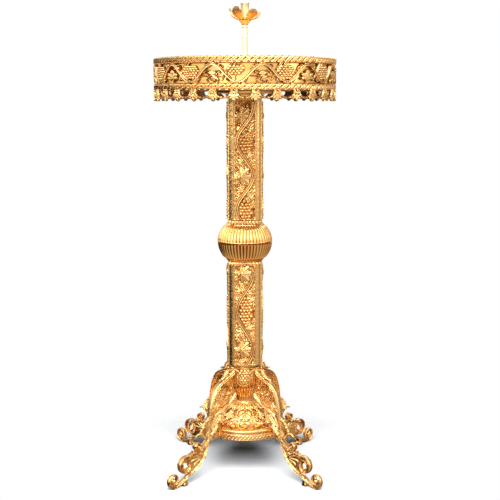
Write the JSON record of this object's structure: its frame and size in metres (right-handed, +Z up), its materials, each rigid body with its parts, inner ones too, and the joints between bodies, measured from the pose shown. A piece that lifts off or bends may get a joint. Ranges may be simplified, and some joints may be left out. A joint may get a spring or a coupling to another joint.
{
  "type": "church candle stand",
  "caption": "Standing church candle stand in cast brass: scroll legs, vine-carved column with a fluted knop, round sand tray with an openwork gallery, and a central candle cup.",
  "frame": {"origin": "on the floor, under the column's axis", "axes": "+Z up along the column; -Y is the front, +X the right-hand side as seen from the front"},
  "size_m": [0.45, 0.45, 1.18],
  "materials": {
    "cast_brass": "cast, gilded and polished on the high parts, brown in the recesses",
    "polished_brass": "polished",
    "spun_brass": "spun sheet, satin",
    "steel": "plain zinc-plated hardware"
  },
  "bodies": {
    "stand": {"leg_front_right": "cast_brass", "leg_bolt_front_right": "steel", "leg_rear_right": "cast_brass", "leg_bolt_rear_right": "steel", "leg_rear_left": "cast_brass", "leg_bolt_rear_left": "steel", "leg_front_left": "cast_brass", "leg_bolt_front_left": "steel", "base_disc": "cast_brass", "bell_skirt": "cast_brass", "fluted_cup": "cast_brass", "grape_collar": "cast_brass", "lower_column_core": "cast_brass", "upper_column_core": "cast_brass", "knop_lower_collar": "cast_brass", "knop_upper_collar": "cast_brass", "column_head": "cast_brass", "lower_panel_front": "cast_brass", "upper_panel_front": "cast_brass", "gallery_front": "cast_brass", "gallery_screw_front_a": "steel", "gallery_screw_front_b": "steel", "lower_panel_right": "cast_brass", "upper_panel_right": "cast_brass", "gallery_right": "cast_brass", "gallery_screw_right_a": "steel", "gallery_screw_right_b": "steel", "lower_panel_rear": "cast_brass", "upper_panel_rear": "cast_brass", "gallery_rear": "cast_brass", "gallery_screw_rear_a": "steel", "gallery_screw_rear_b": "steel", "lower_panel_left": "cast_brass", "upper_panel_left": "cast_brass", "gallery_left": "cast_brass", "gallery_screw_left_a": "steel", "gallery_screw_left_b": "steel", "knop_lower_shell": "polished_brass", "knop_upper_shell": "polished_brass", "basin": "spun_brass", "tie_rod": "steel", "tie_rod_lower_washer": "steel", "tie_rod_lower_nut": "steel", "tie_rod_upper_washer": "steel", "tie_rod_upper_nut": "steel"},
    "tray": {"sand_tray": "spun_brass", "rod_socket": "polished_brass"},
    "candle_holder": {"candle_rod": "polished_brass", "calyx": "cast_brass", "drip_pan": "polished_brass", "candle_cup": "polished_brass"}
  },
  "joints": [
    {"name": "tray_lift", "type": "slide", "parent": "stand", "child": "tray", "axis": [0, 0, 1], "range_m": [0, 0.12]},
    {"name": "holder_lift", "type": "slide", "parent": "tray", "child": "candle_holder", "axis": [0, 0, 1], "range_m": [0, 0.06]}
  ]
}
